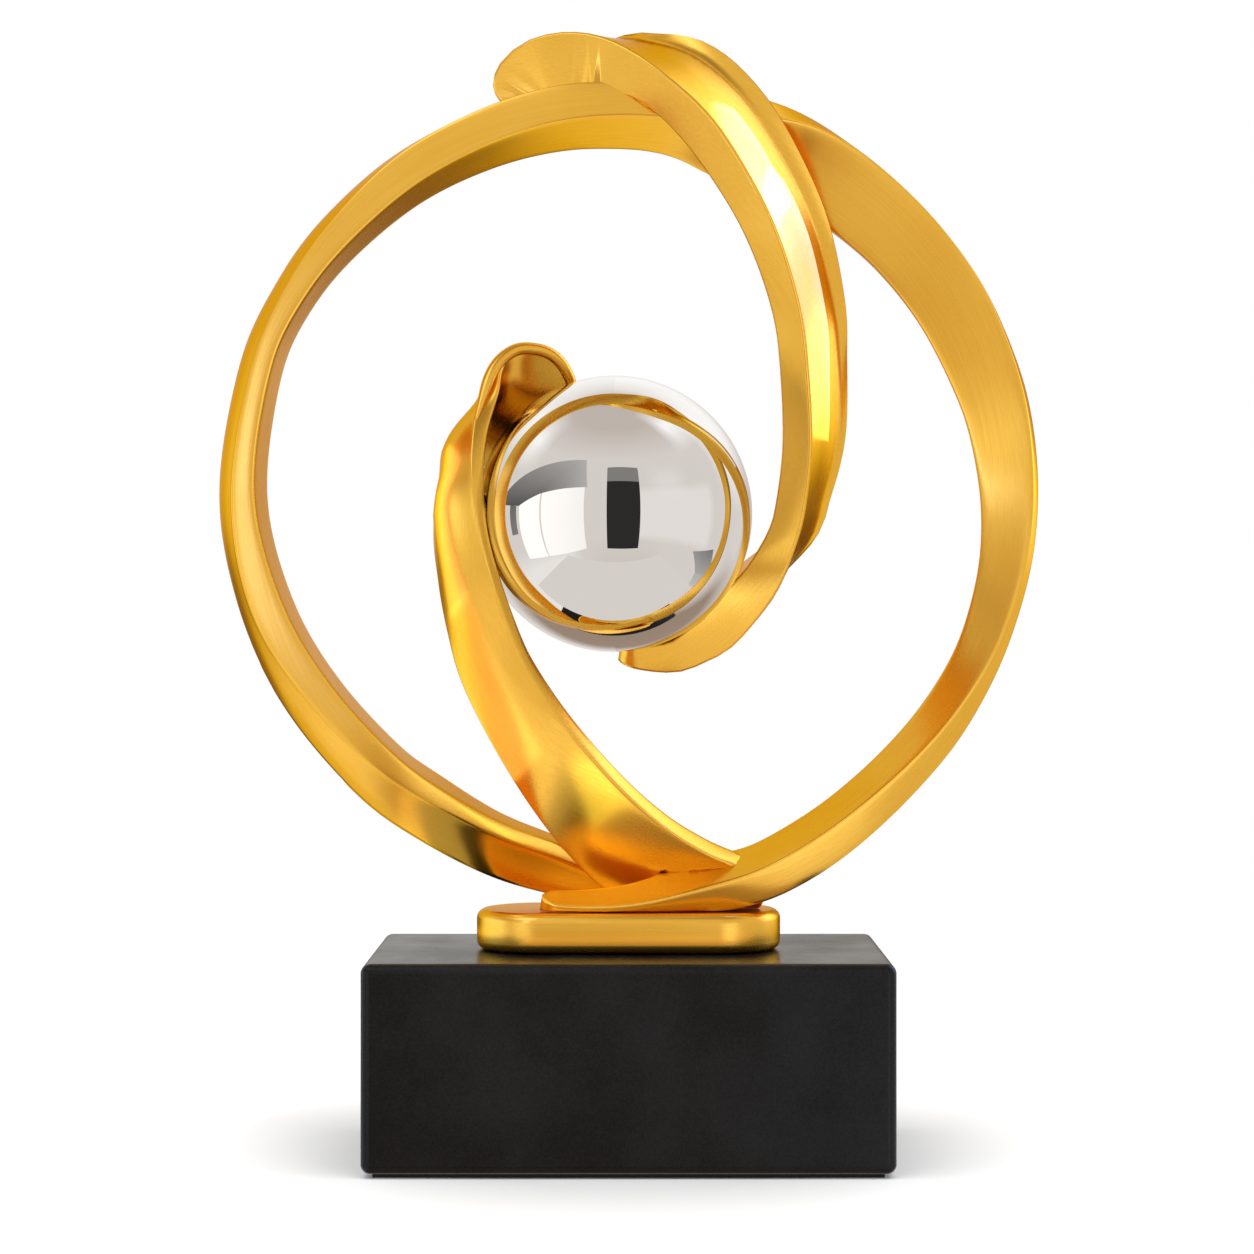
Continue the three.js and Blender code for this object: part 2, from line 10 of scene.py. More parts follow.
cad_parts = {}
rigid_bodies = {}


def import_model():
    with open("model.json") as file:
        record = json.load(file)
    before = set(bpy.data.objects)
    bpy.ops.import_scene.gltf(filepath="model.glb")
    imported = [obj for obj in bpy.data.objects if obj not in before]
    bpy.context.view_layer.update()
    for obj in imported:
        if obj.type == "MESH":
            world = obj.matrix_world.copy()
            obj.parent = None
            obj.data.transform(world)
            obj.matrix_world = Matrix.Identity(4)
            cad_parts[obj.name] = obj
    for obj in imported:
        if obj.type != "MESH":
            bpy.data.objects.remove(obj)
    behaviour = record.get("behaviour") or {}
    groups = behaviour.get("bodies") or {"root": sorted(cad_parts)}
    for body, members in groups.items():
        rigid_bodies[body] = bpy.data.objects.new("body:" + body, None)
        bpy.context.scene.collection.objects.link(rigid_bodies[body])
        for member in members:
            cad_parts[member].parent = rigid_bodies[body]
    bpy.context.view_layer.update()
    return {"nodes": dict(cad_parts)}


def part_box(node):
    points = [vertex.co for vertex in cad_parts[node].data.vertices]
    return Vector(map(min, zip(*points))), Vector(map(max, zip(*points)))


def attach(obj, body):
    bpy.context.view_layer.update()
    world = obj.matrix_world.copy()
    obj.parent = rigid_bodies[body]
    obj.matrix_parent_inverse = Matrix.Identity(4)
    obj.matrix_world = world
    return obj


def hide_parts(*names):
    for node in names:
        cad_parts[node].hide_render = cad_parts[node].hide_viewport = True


print("frame: loading")
for leftOver in list(bpy.data.objects):
    bpy.data.objects.remove(leftOver)
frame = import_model()
nodes = frame["nodes"]
mm = 0.001


# Camera: level, straight in front, a little under the ball

cameraValues = {
    "lens": 79.1,
    "sensor": 36,
    "side": -0.41,
    "distance": 754.5,
    "height": 143.9,
    "clipEnd": 20,
}

print("camera")
cameraData = bpy.data.cameras.new("camera")
cameraData.lens = cameraValues["lens"]
cameraData.sensor_width = cameraValues["sensor"]
cameraData.clip_end = cameraValues["clipEnd"]
cameraObject = bpy.data.objects.new("camera", cameraData)
cameraObject.location = (
    cameraValues["side"] * mm,
    -cameraValues["distance"] * mm,
    cameraValues["height"] * mm,
)
cameraObject.rotation_euler = (math.radians(90), 0, 0)
bpy.context.collection.objects.link(cameraObject)
bpy.context.scene.camera = cameraObject
bpy.context.scene.view_settings.view_transform = "Standard"


# Small helpers for node trees

class Tree:
    def __init__(self, owner):
        owner.use_nodes = True
        self.tree = owner.node_tree
        self.tree.nodes.clear()

    def add(self, kind, inputs=None, **settings):
        node = self.tree.nodes.new("ShaderNode" + kind)
        for name, value in settings.items():
            setattr(node, name, value)
        for name, value in (inputs or {}).items():
            socket = node.inputs[name]
            if isinstance(value, bpy.types.NodeSocket):
                self.tree.links.new(value, socket)
            else:
                socket.default_value = value
        return node

    def maths(self, first, second, operation="ADD"):
        return self.add("Math", {0: first, 1: second}, operation=operation).outputs[0]

    def vectorMaths(self, inputs, operation="ADD"):
        return self.add("VectorMath", inputs, operation=operation).outputs[0]

    def length(self, place):
        return self.add("VectorMath", {0: place}, operation="LENGTH").outputs["Value"]

    def ramp(self, value, low, high, fromLow, fromHigh):
        inputs = {
            "Value": value,
            "From Min": fromLow,
            "From Max": fromHigh,
            "To Min": low,
            "To Max": high,
        }
        return self.add("MapRange", inputs).outputs["Result"]

    def mix(self, factor, first, second):
        inputs = {"Factor": factor, "A": first, "B": second}
        return self.add("Mix", inputs, data_type="RGBA").outputs["Result"]

    def noise(self, place, perMetre, detail, roughness=0.5):
        inputs = {"Vector": place, "Scale": perMetre, "Detail": detail, "Roughness": roughness}
        return self.add("TexNoise", inputs).outputs["Fac"]

    def bump(self, height, strength, depth):
        inputs = {"Height": height, "Strength": strength, "Distance": depth}
        return self.add("Bump", inputs).outputs[0]

    def objectPlace(self, centre=(0, 0, 0), scale=(1, 1, 1)):
        place = self.add("TexCoord").outputs["Object"]
        shifted = self.vectorMaths({0: place, 1: Vector(centre) * -1})
        return self.add("Mapping", {"Vector": shifted, "Scale": scale}).outputs[0]

    def finish(self, shader, output="OutputMaterial"):
        self.tree.links.new(shader.outputs[0], self.add(output).inputs["Surface"])


# In the values of the materials, a noise is its scale per metre, its detail and at times its
# roughness, a range is the part of a noise that is stretched out, and a bump is its strength and
# its depth in metres.

# Gold: satin, brushed along the bands

goldValues = {
    "bright": (0.90, 0.51, 0.072, 1),
    "deep": (0.82, 0.43, 0.048, 1),
    "edgeTint": (0.86, 0.6, 0.3, 1),
    "roughness": 0.25,
    "roughnessSpread": 0.045,
    "anisotropy": 0.35,
    "grainPerMetre": 2400,
    "grainStretch": 0.012,
    "grainDetail": 3,
    "grainRoughness": 0.55,
    "patches": (30, 3),
    "colourRange": (0.7, 1.3),
    "roughnessRange": (0.6, 1.4),
    "bump": (0.03, 0.0004),
}


# Brushed round the centre, or straight along X where there is no centre
def goldMaterial(name, centre=None):
    values = goldValues
    material = bpy.data.materials.new(name)
    tree = Tree(material)
    place = tree.objectPlace(centre or (0, 0, 0))
    x, y, z = tree.add("SeparateXYZ", {0: place}).outputs
    grain = values["grainPerMetre"]
    slow = grain * values["grainStretch"]
    if centre:
        across = tree.length(tree.add("CombineXYZ", {"X": x, "Z": z}).outputs[0])
        rise = tree.maths(z, slow, "MULTIPLY")
    else:
        across = z
        rise = 0.0
    stretched = tree.add("CombineXYZ", {
        "X": tree.maths(x, slow, "MULTIPLY"),
        "Y": tree.maths(y, grain, "MULTIPLY"),
        "Z": rise,
    }).outputs[0]
    brush = tree.add("TexNoise", {
        "Vector": stretched,
        "W": tree.maths(across, grain, "MULTIPLY"),
        "Scale": 1.0,
        "Detail": values["grainDetail"],
        "Roughness": values["grainRoughness"],
    }, noise_dimensions="4D").outputs["Fac"]
    wear = tree.maths(brush, tree.noise(place, *values["patches"]))
    brightness = tree.ramp(wear, 0, 1, *values["colourRange"])
    roughest = values["roughness"] + values["roughnessSpread"]
    smoothest = values["roughness"] - values["roughnessSpread"]
    inputs = {
        "Base Color": tree.mix(brightness, values["deep"], values["bright"]),
        "Metallic": 1.0,
        "Roughness": tree.ramp(wear, roughest, smoothest, *values["roughnessRange"]),
        "Specular Tint": values["edgeTint"],
        "Normal": tree.bump(brush, *values["bump"]),
    }
    if centre:
        around = tree.add("CombineXYZ", {"X": tree.maths(z, -1, "MULTIPLY"), "Z": x}).outputs[0]
        inputs["Anisotropic"] = values["anisotropy"]
        inputs["Tangent"] = tree.vectorMaths({0: around}, "NORMALIZE")
    tree.finish(tree.add("BsdfPrincipled", inputs))
    return material


# Polished steel of the ball

ballValues = {
    "colour": (0.70, 0.685, 0.665, 1),
    "clear": 0.0,
    "smudged": 0.003,
    "smudges": (90, 4),
    "smudgeRange": (0.4, 0.7),
    "segments": 160,
    "rings": 96,
}


def mirrorMaterial():
    values = ballValues
    material = bpy.data.materials.new("mirrorPolish")
    tree = Tree(material)
    smudges = tree.noise(tree.objectPlace(), *values["smudges"])
    tree.finish(tree.add("BsdfPrincipled", {
        "Base Color": values["colour"],
        "Metallic": 1.0,
        "Roughness": tree.ramp(smudges, values["clear"], values["smudged"], *values["smudgeRange"]),
    }))
    return material


# Satin black of the block

blockValues = {
    "colour": (0.0044, 0.0043, 0.0043, 1),
    "fleck": (0.0145, 0.014, 0.0141, 1),
    "flecks": (1500, 3, 0.6),
    "clouds": (40, 4),
    "fleckRange": (0.8, 1.4),
    "smoothest": 0.2,
    "roughest": 0.31,
    "roughnessRange": (0.35, 0.65),
    "specular": 0.17,
    "bump": (0.1, 0.0002),
    "crispAngle": 40,
}


def blackMaterial():
    values = blockValues
    material = bpy.data.materials.new("satinBlack")
    tree = Tree(material)
    place = tree.objectPlace()
    flecks = tree.noise(place, *values["flecks"])
    clouds = tree.noise(place, *values["clouds"])
    paleness = tree.ramp(tree.maths(flecks, clouds), 0, 1, *values["fleckRange"])
    smoothest, roughest = values["smoothest"], values["roughest"]
    tree.finish(tree.add("BsdfPrincipled", {
        "Base Color": tree.mix(paleness, values["colour"], values["fleck"]),
        "Roughness": tree.ramp(clouds, smoothest, roughest, *values["roughnessRange"]),
        "Specular IOR Level": values["specular"],
        "Normal": tree.bump(flecks, *values["bump"]),
    }))
    return material


# Plain steel of the bolts, screws, washers and pins

steelValues = {
    "colour": (0.52, 0.52, 0.52, 1),
    "turning": (700, 3),
    "turningStretch": (1, 1, 12),
    "smoothest": 0.28,
    "roughest": 0.45,
    "turningRange": (0.3, 0.7),
}


def steelMaterial():
    values = steelValues
    material = bpy.data.materials.new("plainSteel")
    tree = Tree(material)
    turning = tree.noise(tree.objectPlace(scale=values["turningStretch"]), *values["turning"])
    smoothest, roughest = values["smoothest"], values["roughest"]
    tree.finish(tree.add("BsdfPrincipled", {
        "Base Color": values["colour"],
        "Metallic": 1.0,
        "Roughness": tree.ramp(turning, smoothest, roughest, *values["turningRange"]),
    }))
    return material


# Black felt under the block

feltValues = {
    "deep": (0.006, 0.006, 0.007, 1),
    "pale": (0.02, 0.02, 0.022, 1),
    "fibres": (2200, 5, 0.7),
    "roughness": 0.95,
    "bump": (0.6, 0.0004),
}


def feltMaterial():
    values = feltValues
    material = bpy.data.materials.new("blackFelt")
    tree = Tree(material)
    fibres = tree.noise(tree.objectPlace(), *values["fibres"])
    tree.finish(tree.add("BsdfPrincipled", {
        "Base Color": tree.mix(fibres, values["deep"], values["pale"]),
        "Roughness": values["roughness"],
        "Normal": tree.bump(fibres, *values["bump"]),
    }))
    return material


# Helpers for the pieces, in millimetres and degrees

meshValues = {
    "mergeWithin": 0.01,
    "shortestEdge": 0.1,
    "quadFaceAngle": 50,
    "quadShapeAngle": 60,
}

# The lamps close to the sculpture shine on the gold pieces alone
goldPieces = bpy.data.collections.new("goldPieces")


def centreOf(node):
    low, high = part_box(node)
    return (low + high) / 2


def newPiece(name, bm, material, slotName, *replaced):
    mesh = bpy.data.meshes.new(name)
    bm.to_mesh(mesh)
    bm.free()
    mesh.materials.append(material)
    piece = bpy.data.objects.new(name, mesh)
    bpy.context.collection.objects.link(piece)
    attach(piece, "root")
    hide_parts(*replaced)
    if slotName == "gold":
        goldPieces.objects.link(piece)
    return piece


def mergeDoubles(bm):
    bmesh.ops.remove_doubles(bm, verts=bm.verts, dist=meshValues["mergeWithin"] * mm)


# The merged copy of a CAD node, as quads where its triangles pair up
def copyOfNode(node):
    bm = bmesh.new()
    bm.from_mesh(nodes[node].data)
    mergeDoubles(bm)
    bmesh.ops.dissolve_degenerate(bm, edges=bm.edges, dist=meshValues["shortestEdge"] * mm)
    bmesh.ops.join_triangles(
        bm,
        faces=bm.faces,
        angle_face_threshold=math.radians(meshValues["quadFaceAngle"]),
        angle_shape_threshold=math.radians(meshValues["quadShapeAngle"]),
    )
    bm.normal_update()
    return bm


# Smooth shading, with a break at each edge that is sharper than the crisp angle
def shadeSmooth(bm, crispAngle=None):
    for face in bm.faces:
        face.smooth = True
    if crispAngle:
        for edge in bm.edges:
            if edge.calc_face_angle(0) > math.radians(crispAngle):
                edge.smooth = False


def surfaceOf(node):
    bm = bmesh.new()
    bm.from_mesh(nodes[node].data)
    surface = BVHTree.FromBMesh(bm)
    bm.free()
    return surface


# The ring and the two arms. Angles are in degrees and lengths in millimetres; the centres are
# those that the arms are brushed round, from the middle of the ball.

bandValues = {
    "softAngle": 24,
    "sharpAngle": 60,
    "levels": 2,
    "seamReach": 0.36,
    "lobeReach": 0.62,
    "seamDepth": 0.2,
    "cutReach": 0.42,
    "crispAngle": 62,
    "risingCentre": (20, 0, -10),
    "crossingCentre": (-15, 0, 20),
}


# The sharper an edge, the more it is held when the mesh is smoothed
def creaseEdges(bm):
    softest, sharpest = bandValues["softAngle"], bandValues["sharpAngle"]
    crease = bm.edges.layers.float.get("crease_edge") or bm.edges.layers.float.new("crease_edge")
    for edge in bm.edges:
        angle = math.degrees(edge.calc_face_angle(0))
        edge[crease] = min(max((angle - softest) / (sharpest - softest), 0), 1)


# Holds the edges that a clearance round another node has cut
def holdCuts(bm, node):
    surface = surfaceOf(node)
    reach = bandValues["cutReach"] * mm
    crease = bm.edges.layers.float["crease_edge"]
    near = {vert for vert in bm.verts if surface.find_nearest(vert.co, reach)[0]}
    for edge in bm.edges:
        if near.issuperset(edge.verts):
            edge[crease] = 1


# Moves the faces that a clearance keeps off another node into that node, so that no slit is seen
def closeSeam(bm, node, reach):
    surface = surfaceOf(node)
    for vert in bm.verts:
        place, normal = surface.find_nearest(vert.co, reach * mm)[:2]
        if place:
            vert.co = place - normal * bandValues["seamDepth"] * mm


# The raised lip round the end of the rising arm: the places of its middle line in millimetres, and
# its thickness there as a share

lipValues = {
    "radius": 1.75,
    "line": [
        ((-41.2, -11.2, 199.5), 0.3),
        ((-39.9, -9.0, 204.2), 0.7),
        ((-38.6, -7.2, 209.5), 1),
        ((-36.8, -5.2, 214.3), 1),
        ((-34.1, -3.2, 217.7), 1),
        ((-30.6, -1.0, 220.1), 1),
        ((-26.8, 1.2, 220.4), 1),
        ((-22.6, 3.2, 219.8), 1),
        ((-19.2, 5.2, 217.7), 1),
        ((-16.9, 7.2, 214.5), 0.95),
        ((-15.7, 9.2, 211.1), 0.9),
    ],
    "curveOrder": 4,
    "lengthSteps": 5,
    "roundSteps": 4,
}


def addLip(bm):
    print("lip of the rising arm")
    curve = bpy.data.curves.new("armLip", "CURVE")
    curve.dimensions = "3D"
    curve.bevel_depth = lipValues["radius"] * mm
    curve.bevel_resolution = lipValues["roundSteps"]
    curve.resolution_u = lipValues["lengthSteps"]
    curve.use_fill_caps = True
    spline = curve.splines.new("NURBS")
    spline.points.add(len(lipValues["line"]) - 1)
    spline.use_endpoint_u = True
    spline.order_u = lipValues["curveOrder"]
    for point, (place, share) in zip(spline.points, lipValues["line"]):
        point.co = (*(Vector(place) * mm), 1)
        point.radius = share
    line = bpy.data.objects.new("armLip", curve)
    bpy.context.collection.objects.link(line)
    evaluated = line.evaluated_get(bpy.context.evaluated_depsgraph_get())
    shape = bpy.data.meshes.new_from_object(evaluated)
    bm.from_mesh(shape)
    mergeDoubles(bm)
    bpy.data.objects.remove(line)
    bpy.data.curves.remove(curve)
    bpy.data.meshes.remove(shape)


def dressBand(name, node, centre, seamNode=None):
    print("band:", name)
    bm = copyOfNode(node)
    creaseEdges(bm)
    if node == "rising_arm":
        holdCuts(bm, "mirror_ball")
        addLip(bm)
    if seamNode:
        closeSeam(bm, seamNode, bandValues["seamReach"])
    shadeSmooth(bm)
    piece = newPiece(name, bm, goldMaterial(name + "Gold", centre), "gold", node)
    smoothing = piece.modifiers.new("smooth", "SUBSURF")
    smoothing.levels = bandValues["levels"]
    smoothing.render_levels = bandValues["levels"]


# A band whose cuts run across its faces keeps its own facets, shaded smooth between crisp edges
def dressCutBand(name, node, centre, seamNode):
    print("band:", name)
    bm = copyOfNode(node)
    closeSeam(bm, seamNode, bandValues["lobeReach"])
    shadeSmooth(bm, bandValues["crispAngle"])
    piece = newPiece(name, bm, goldMaterial(name + "Gold", centre), "gold", node)
    normals = piece.modifiers.new("evenFaces", "WEIGHTED_NORMAL")
    normals.mode = "FACE_AREA_WITH_ANGLE"
    normals.keep_sharp = True


ballCentre = centreOf("mirror_ball")
risingCentre = ballCentre + Vector(bandValues["risingCentre"]) * mm
crossingCentre = ballCentre + Vector(bandValues["crossingCentre"]) * mm
dressBand("orbitBand", "orbit_band", centreOf("orbit_band"))
dressBand("risingArm", "rising_arm", risingCentre, "orbit_band")
dressCutBand("crossingArm", "crossing_arm", crossingCentre, "orbit_band")


# The foot plate keeps soft shading round its sides, and a narrow rim keeps its top flat

plateValues = {
    "levelFrom": 0.999,
    "rim": 0.5,
    "crispAngle": 40,
}


def dressPlate():
    print("foot plate")
    bm = copyOfNode("foot_plate")
    level = [face for face in bm.faces if abs(face.normal.z) > plateValues["levelFrom"]]
    rim = plateValues["rim"] * mm
    bmesh.ops.inset_region(bm, faces=level, thickness=rim, use_boundary=True)
    shadeSmooth(bm, plateValues["crispAngle"])
    newPiece("footPlate", bm, goldMaterial("footGold"), "gold", "foot_plate")


def dressBlock():
    print("block")
    bm = copyOfNode("base_block")
    shadeSmooth(bm, blockValues["crispAngle"])
    piece = newPiece("baseBlock", bm, blackMaterial(), "black", "base_block")
    normals = piece.modifiers.new("flatFaces", "WEIGHTED_NORMAL")
    normals.keep_sharp = True


def dressBall():
    print("ball")
    low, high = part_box("mirror_ball")
    bm = bmesh.new()
    bmesh.ops.create_uvsphere(
        bm,
        u_segments=ballValues["segments"],
        v_segments=ballValues["rings"],
        radius=(high.z - low.z) / 2,
    )
    bmesh.ops.translate(bm, verts=bm.verts, vec=ballCentre)
    shadeSmooth(bm)
    newPiece("mirrorBall", bm, mirrorMaterial(), "mirror", "mirror_ball")


dressPlate()
dressBlock()
dressBall()


# The hidden parts keep their CAD meshes
def dressNode(node, material):
    nodes[node].data.materials.clear()
    nodes[node].data.materials.append(material)


print("hidden parts")
steel = steelMaterial()
for node in nodes:
    if node.endswith(("_left", "_right", "_dowel", "_pin", "_upper", "_lower")):
        dressNode(node, steel)
dressNode("base_felt", feltMaterial())


# Floor, lamps, and the surroundings that only reflections see

print("studio")


def stageObject(name, bm, material):
    mesh = bpy.data.meshes.new(name)
    bm.to_mesh(mesh)
    bm.free()
    mesh.materials.append(material)
    stageThing = bpy.data.objects.new(name, mesh)
    bpy.context.collection.objects.link(stageThing)
    return stageThing


def onlyMirrored(stageThing):
    stageThing.visible_camera = False
    stageThing.visible_diffuse = False
    stageThing.visible_shadow = False
    stageThing.active_material.cycles.emission_sampling = "NONE"


# The floor fades out towards its edge. Away from the block it has painted light: a glow that only
# the camera sees, none next to the block and rising further out, so the floor there is lighter than
# the lamps make it

floorValues = {
    "radius": 700,
    "segments": 64,
    "fadeFrom": 330,
    "fadeTo": 620,
    "tone": 0.76,
    "glow": 0.33,
    "glowFrom": 50,
    "glowTo": 125,
}


def addFloor():
    values = floorValues
    material = bpy.data.materials.new("paleFloor")
    tree = Tree(material)
    distance = tree.length(tree.add("TexCoord").outputs["Object"])
    fade = tree.ramp(distance, 0, 1, values["fadeFrom"] * mm, values["fadeTo"] * mm)
    # painted light: the glow for the camera, zero near the block and full further out
    away = tree.ramp(distance, 0, values["glow"], values["glowFrom"] * mm, values["glowTo"] * mm)
    seen = tree.add("LightPath").outputs["Is Camera Ray"]
    tone = values["tone"]
    diffuse = tree.add("BsdfDiffuse", {"Color": (tone, tone, tone, 1)})
    glow = tree.add("Emission", {
        "Color": (1, 1, 1, 1),
        "Strength": tree.maths(seen, away, "MULTIPLY"),
    })
    lit = tree.add("AddShader", {0: diffuse.outputs[0], 1: glow.outputs[0]})
    clear = tree.add("BsdfTransparent")
    tree.finish(tree.add("MixShader", {0: fade, 1: lit.outputs[0], 2: clear.outputs[0]}))
    bm = bmesh.new()
    bmesh.ops.create_circle(
        bm,
        cap_ends=True,
        segments=values["segments"],
        radius=values["radius"] * mm,
    )
    floor = stageObject("floor", bm, material)
    floor.visible_glossy = False


# Patches of light and shade on the dome, in degrees as seen from the ball: turn to the right of the
# camera's side, from and to; rise above level, from and to; width of the soft edge; and what the
# patch adds to red, green and blue. The satin metal sees the first set, the ball the second.

allRound = 400  # past both ends of the turn, so that a patch has no edge there
domeValues = {
    "radius": 1600,
    "segments": 96,
    "rings": 48,
    "satinBase": (0.86, 0.84, 0.8),
    "satinPatches": {
        "leftBox": (-122, -66, -12, 16, 8, (0.5, 0.75, 1.2)),
        "rightBox": (96, 138, 0, 58, 8, (1.2, 1.4, 3.0)),
        "highBox": (-58, -14, 38, 60, 8, (1.0, 1.15, 1.9)),
        "leftLow": (-125, -32, -56, -30, 8, (0.3, 0.35, 0.6)),
        "nearLeft": (-46, -20, -20, 9, 8, (0.35, 0.42, 0.6)),
        "nearRight": (14, 36, -33, 6, 6, (0.6, 0.74, 1.3)),
        "leftShade": (-90, -50, 16, 36, 10, (-0.3, -0.4, -0.45)),
        "lowShade": (-16, 5, -42, -2, 8, (-0.24, -0.34, -0.42)),
        "lowDeep": (-20, 8, -48, -22, 6, (-0.22, -0.28, -0.32)),
        "backShade": (140, 170, -3, 30, 8, (-0.35, -0.42, -0.46)),
        "edgeShadeLeft": (-allRound, -132, -22, -2, 3, (-0.6, -0.64, -0.64)),
        "edgeShadeRight": (140, allRound, -22, -2, 3, (-0.6, -0.64, -0.64)),
        "backLow": (125, allRound, -52, -24, 8, (0.2, 0.26, 0.7)),
        "backLowLeft": (-allRound, -135, -52, -24, 8, (0.2, 0.26, 0.7)),
        "highShade": (-180, allRound, 78, 100, 5, (-0.4, -0.45, -0.5)),
        "overFront": (-5, 70, 48, 76, 10, (-0.5, -0.52, -0.54)),
        "footShade": (-180, allRound, -100, -55, 6, (-0.3, -0.42, -0.5)),
    },
    "clearBase": (0.93, 0.885, 0.855),
    "clearPatches": {
        "ceiling": (-allRound, allRound, 56, 110, 14, (-0.2, -0.23, -0.25)),
        "ceilingLeft": (-140, -84, 34, 56, 10, (0.42, 0.46, 0.49)),
        "ceilingBright": (76, 128, 50, 70, 9, (0.55, 0.6, 0.64)),
        "ceilingRight": (112, 150, 14, 60, 12, (0.4, 0.44, 0.47)),
        "rightWall": (19, 88, -21, 17, 3, (0.13, 0.14, 0.15)),
        "rightGlow": (34, 60, 17, 30, 7, (0.1, 0.11, 0.12)),
        "floorLeft": (-130, -36, -66, -29, 7, (0.2, 0.22, 0.24)),
        "floorNear": (-20, 40, -60, -30, 12, (-0.08, -0.09, -0.1)),
        "backHighLeft": (-allRound, -140, 20, 66, 10, (0.25, 0.28, 0.3)),
        "backHighRight": (150, allRound, 20, 66, 10, (0.3, 0.33, 0.35)),
        "backLeft": (-allRound, -125, -14, 12, 8, (-0.12, -0.14, -0.16)),
        "backRight": (140, allRound, -14, 12, 8, (-0.25, -0.28, -0.3)),
        "backLowLeft": (-allRound, -138, -70, -26, 9, (-0.5, -0.56, -0.6)),
        "backLowRight": (125, allRound, -70, -22, 9, (-0.5, -0.56, -0.6)),
    },
}


def addDome():
    values = domeValues
    radius = values["radius"] * mm
    material = bpy.data.materials.new("dome")
    tree = Tree(material)
    x, y, z = tree.add("SeparateXYZ", {0: tree.objectPlace(ballCentre)}).outputs
    turn = tree.maths(x, tree.maths(y, -1, "MULTIPLY"), "ARCTAN2")
    turn = tree.maths(turn, 180 / math.pi, "MULTIPLY")
    rise = tree.maths(tree.maths(z, radius, "DIVIDE"), 0, "ARCSINE")
    rise = tree.maths(rise, 180 / math.pi, "MULTIPLY")

    def window(value, low, high, soft):
        rising = tree.ramp(value, 0, 1, low - soft, low + soft)
        falling = tree.ramp(value, 1, 0, high - soft, high + soft)
        return tree.maths(rising, falling, "MULTIPLY")

    def lightOf(base, patches):
        light = tree.add("CombineXYZ", dict(zip("XYZ", base))).outputs[0]
        for turnFrom, turnTo, riseFrom, riseTo, soft, tint in patches.values():
            across = window(turn, turnFrom, turnTo, soft)
            patch = tree.maths(across, window(rise, riseFrom, riseTo, soft), "MULTIPLY")
            added = tree.vectorMaths({0: Vector(tint), "Scale": patch}, "SCALE")
            light = tree.vectorMaths({0: light, 1: added})
        return light

    light = tree.mix(
        tree.add("LightPath").outputs["Is Singular Ray"],
        lightOf(values["satinBase"], values["satinPatches"]),
        lightOf(values["clearBase"], values["clearPatches"]),
    )
    tree.finish(tree.add("Emission", {"Color": light, "Strength": 1.0}))
    bm = bmesh.new()
    bmesh.ops.create_uvsphere(
        bm,
        u_segments=values["segments"],
        v_segments=values["rings"],
        radius=radius,
    )
    bmesh.ops.translate(bm, verts=bm.verts, vec=ballCentre)
    onlyMirrored(stageObject("dome", bm, material))


# Shapes that the ball alone mirrors: corners as turn and rise in degrees seen from the ball, the
# distance in millimetres, and the brightness at the left end and at the right end. A near shape
# stands flat before the ball, and a far one follows the dome.

mirroredValues = {
    "tint": (1, 0.98, 0.965, 1),
    "nearWithin": 100,
    "shapes": {
        "doorway": ([(-4, -22.4), (15.3, -22.4), (15.3, 16.5), (-4, 16.5)], 62, 0.035, 0.035),
        "doorwayTop": ([(-4, 16.5), (15.3, 16.5), (15.3, 25.5), (-4, 25.5)], 62, 0.3, 0.3),
        "windowLeft": ([(-80, -28), (-60, -30), (-60, 12.4), (-80, 4.4)], 300, 1.5, 1.5),
        "windowRight": (
            [(-58.6, -30), (-23, -28), (-23, 18), (-40, 16.6), (-58.6, 12.8)],
            300,
            1.5,
            1.3,
        ),
        "beam": (
            [
                (-80.5, 4.4), (-61, 12.3), (-40, 16.6), (-21, 18),
                (-25, 39), (-50, 31), (-72, 22), (-104, 5),
            ],
            290,
            0.12,
            0.62,
        ),
        "windowFrame": ([(-90, -12), (-83, -12), (-83, 4.4), (-90, 4.8)], 290, 0.2, 0.3),
        "sideBox": ([(71.4, -24.7), (93, -19.5), (103.5, -32.6), (86.2, -36.1)], 300, 0.55, 0.25),
        "sideBoxFront": ([(86.2, -36.1), (103.5, -32.6), (108, -40), (90, -44)], 300, 0.75, 0.6),
        "sidePost": ([(98, -14), (103, -13), (111, 21), (106, 22)], 300, 0.16, 0.3),
    },
}


def addMirrored(name, corners, distance, leftGlow, rightGlow):
    places = []
    for turn, rise in corners:
        aside, up = math.radians(turn), math.radians(rise)
        flat = math.cos(up)
        forward = flat * math.cos(aside)
        direction = Vector((flat * math.sin(aside), -forward, math.sin(up)))
        if distance < mirroredValues["nearWithin"]:
            direction /= forward
        places.append(ballCentre + direction * distance * mm)
    material = bpy.data.materials.new(name)
    tree = Tree(material)
    x = tree.add("SeparateXYZ", {0: tree.objectPlace()}).outputs[0]
    left, right = min(place.x for place in places), max(place.x for place in places)
    glow = tree.ramp(x, leftGlow, rightGlow, left, right)
    shine = tree.add("Emission", {"Color": mirroredValues["tint"], "Strength": glow})
    clear = tree.add("BsdfTransparent")
    sharp = tree.add("LightPath").outputs["Is Singular Ray"]
    tree.finish(tree.add("MixShader", {0: sharp, 1: clear.outputs[0], 2: shine.outputs[0]}))
    bm = bmesh.new()
    bm.faces.new([bm.verts.new(place) for place in places])
    bmesh.ops.triangulate(bm, faces=bm.faces)
    onlyMirrored(stageObject(name, bm, material))


# A pale level screen before the sculpture, in millimetres. It hides the block from the lower half
# of the ball, and from below it isn't there.

screenValues = {
    "middle": (-4, -56, 112),
    "width": 132,
    "depth": 72,
    "tint": (0.94, 0.9, 0.865, 1),
}


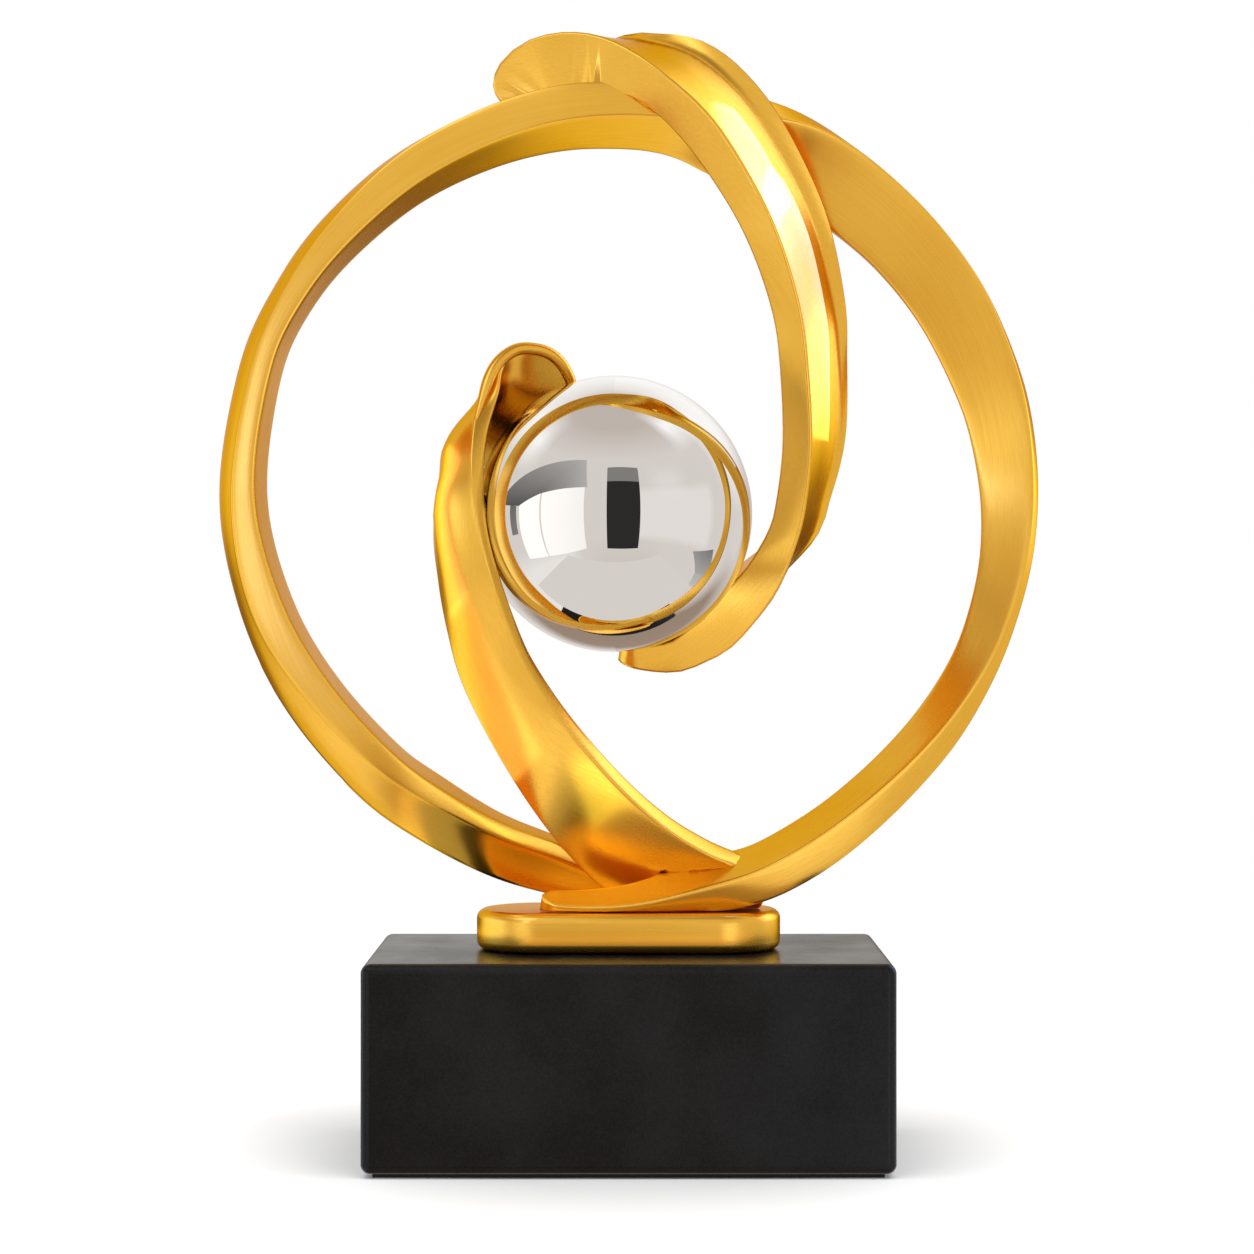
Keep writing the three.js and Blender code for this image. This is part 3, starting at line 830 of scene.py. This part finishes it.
def addScreen():
    values = screenValues
    material = bpy.data.materials.new("screenGlow")
    tree = Tree(material)
    glow = tree.add("Emission", {"Color": values["tint"], "Strength": 1.0})
    clear = tree.add("BsdfTransparent")
    below = tree.add("NewGeometry").outputs["Backfacing"]
    tree.finish(tree.add("MixShader", {0: below, 1: glow.outputs[0], 2: clear.outputs[0]}))
    bm = bmesh.new()
    bmesh.ops.create_grid(bm, x_segments=1, y_segments=1, size=0.5 * mm)  # one millimetre wide
    bmesh.ops.scale(bm, verts=bm.verts, vec=(values["width"], values["depth"], 1))
    bmesh.ops.translate(bm, verts=bm.verts, vec=Vector(values["middle"]) * mm)
    onlyMirrored(stageObject("screen", bm, material))


# Small lamps close to the sculpture, in millimetres: middle, the direction they face, width,
# height, tint. The satin metal mirrors them, and the ball doesn't.

closeLampValues = {
    "besideRisingArm": ((-67, 0, 171), (1, 0, 0), 26, 62, (0.7, 0.85, 1.6)),
    "belowRisingArm": ((-53, 0, 119.5), (0.87, 0, 0.5), 26, 54, (0.62, 0.7, 0.85)),
    "besideCrossingArm": ((57, -3.6, 233), (0, -1, -0.23), 30, 78, (0.75, 1.55, 14)),
    "overCrossingArm": ((45, -13.4, 275), (0, -1, -0.1), 34, 34, (0.7, 1.6, 12)),
    "leftFront": ((-150, -260, 190), (0, 1, 0), 52, 120, (0.75, 1.15, 4.0)),
    "besideFoot": ((-24, -27, 78), (0.6, 0.35, 0.72), 22, 22, (0.85, 1.0, 0.45)),
    "overBlockLeft": ((-65, -4, 58), (0, 0, 1), 30, 68, (0.45, 0.46, 0.45)),
    "overBlockFront": ((12, -28, 58), (0, 0, 1), 90, 16, (0.38, 0.27, 0.18)),
    "beforeCrossingEnd": ((35, -48, 130), (-0.36, 0.83, 0.42), 16, 12, (0.9, 1.3, 2.4)),
}


# The power makes a lamp as bright as its tint says, whatever its size
def addCloseLamp(name, middle, facing, width, height, tint):
    lampData = bpy.data.lights.new(name, "AREA")
    lampData.shape = "RECTANGLE"
    lampData.size = width * mm
    lampData.size_y = height * mm
    lampData.energy = math.pi * lampData.size * lampData.size_y
    lampData.color = tint
    lamp = bpy.data.objects.new(name, lampData)
    lamp.location = Vector(middle) * mm
    halfTurn = Quaternion((0, 1, 0), math.pi)  # an area lamp shines backwards along its Z
    lamp.rotation_euler = (Vector(facing).to_track_quat("Z", "Y") @ halfTurn).to_euler()
    lamp.visible_camera = False
    lamp.visible_diffuse = False
    lamp.light_linking.receiver_collection = goldPieces
    bpy.context.collection.objects.link(lamp)


# Two soft lamps over the front corners, place and size in metres and power in watts, and the even
# light of the white world, which is full for the camera and for reflections

studioValues = {
    "lamps": {
        "leftLamp": ((-0.45, -0.35, 1.2), 0.9, 7.5),
        "rightLamp": ((0.5, -0.4, 1.2), 0.9, 8),
    },
    "ambient": 0.55,
}


def addLamp(name, place, size, power):
    lampData = bpy.data.lights.new(name, "AREA")
    lampData.size = size
    lampData.energy = power
    lamp = bpy.data.objects.new(name, lampData)
    lamp.location = place
    aim = ballCentre - Vector(place)
    lamp.rotation_euler = aim.to_track_quat("-Z", "Y").to_euler()
    lamp.visible_glossy = False
    lamp.visible_camera = False
    bpy.context.collection.objects.link(lamp)


def addWorld():
    world = bpy.data.worlds.new("studio")
    bpy.context.scene.world = world
    tree = Tree(world)
    paths = tree.add("LightPath").outputs
    seen = tree.maths(paths["Is Camera Ray"], paths["Is Glossy Ray"], "MAXIMUM")
    seen = tree.maths(seen, paths["Is Transmission Ray"], "MAXIMUM")
    strength = tree.ramp(seen, studioValues["ambient"], 1, 0, 1)
    background = tree.add("Background", {"Color": (1, 1, 1, 1), "Strength": strength})
    tree.finish(background, "OutputWorld")


addFloor()
addWorld()
addDome()
for name, values in mirroredValues["shapes"].items():
    addMirrored(name, *values)
addScreen()
for name, values in closeLampValues.items():
    addCloseLamp(name, *values)
for name, values in studioValues["lamps"].items():
    addLamp(name, *values)

print("done")
